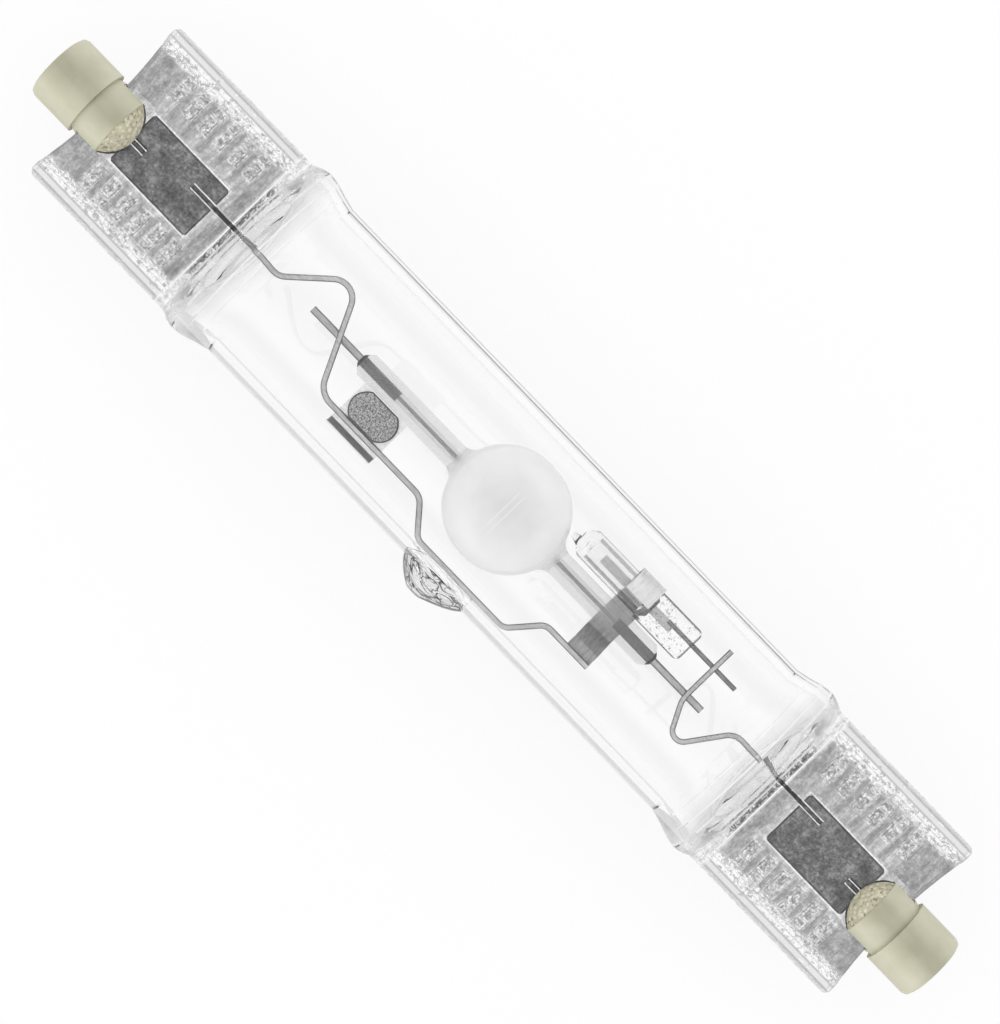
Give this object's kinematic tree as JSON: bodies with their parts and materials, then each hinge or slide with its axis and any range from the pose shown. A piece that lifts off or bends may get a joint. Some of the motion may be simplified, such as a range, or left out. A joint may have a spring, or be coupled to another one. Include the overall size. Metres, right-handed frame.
{
  "type": "double ended metal halide lamp",
  "caption": "Clear quartz tube lamp with flat pinched ends, slotted ceramic end caps and a round ceramic arc tube carried by bent wires inside.",
  "frame": {"origin": "middle of the cap axis, half way between the cap rims", "axes": "+X along the lamp to the right cap, +Y across it in the plane of the flat pinches, away from the exhaust tip, +Z square to the pinches"},
  "size_m": [0.1354, 0.025, 0.0216],
  "materials": {
    "quartz": "clear polished",
    "molybdenum_foil": "dull rolled foil",
    "molybdenum_wire": "drawn",
    "cap_ceramic": "fired, fine matt",
    "cap_cement": "granular",
    "contact_metal": "nickel plated",
    "frame_metal": "drawn",
    "arc_ceramic": "translucent sintered",
    "niobium": "dull",
    "frit": "glassy",
    "tungsten": "drawn",
    "mercury": "liquid",
    "halide_salt": "crystalline",
    "getter_metal": "rolled",
    "getter_powder": "sintered powder",
    "strip_metal": "rolled"
  },
  "bodies": {
    "root": {"outer_jacket": "quartz", "left_foil": "molybdenum_foil", "right_foil": "molybdenum_foil", "left_outer_lead": "molybdenum_wire", "right_outer_lead": "molybdenum_wire", "left_cap": "cap_ceramic", "right_cap": "cap_ceramic", "left_cement": "cap_cement", "right_cement": "cap_cement", "left_contact": "contact_metal", "right_contact": "contact_metal", "frame_wire": "frame_metal", "short_wire": "frame_metal", "arc_tube": "arc_ceramic", "left_niobium_pin": "niobium", "right_niobium_pin": "niobium", "left_frit_seal": "frit", "right_frit_seal": "frit", "left_feedthrough_rod": "molybdenum_wire", "right_feedthrough_rod": "molybdenum_wire", "left_electrode": "tungsten", "right_electrode": "tungsten", "left_electrode_coil": "tungsten", "right_electrode_coil": "tungsten", "mercury_bead": "mercury", "halide_pellets": "halide_salt", "getter_holder": "getter_metal", "getter_tablet": "getter_powder", "glow_bottle": "quartz", "glow_foil": "molybdenum_foil", "glow_lead": "molybdenum_wire", "ignition_strip": "strip_metal"}
  },
  "joints": []
}
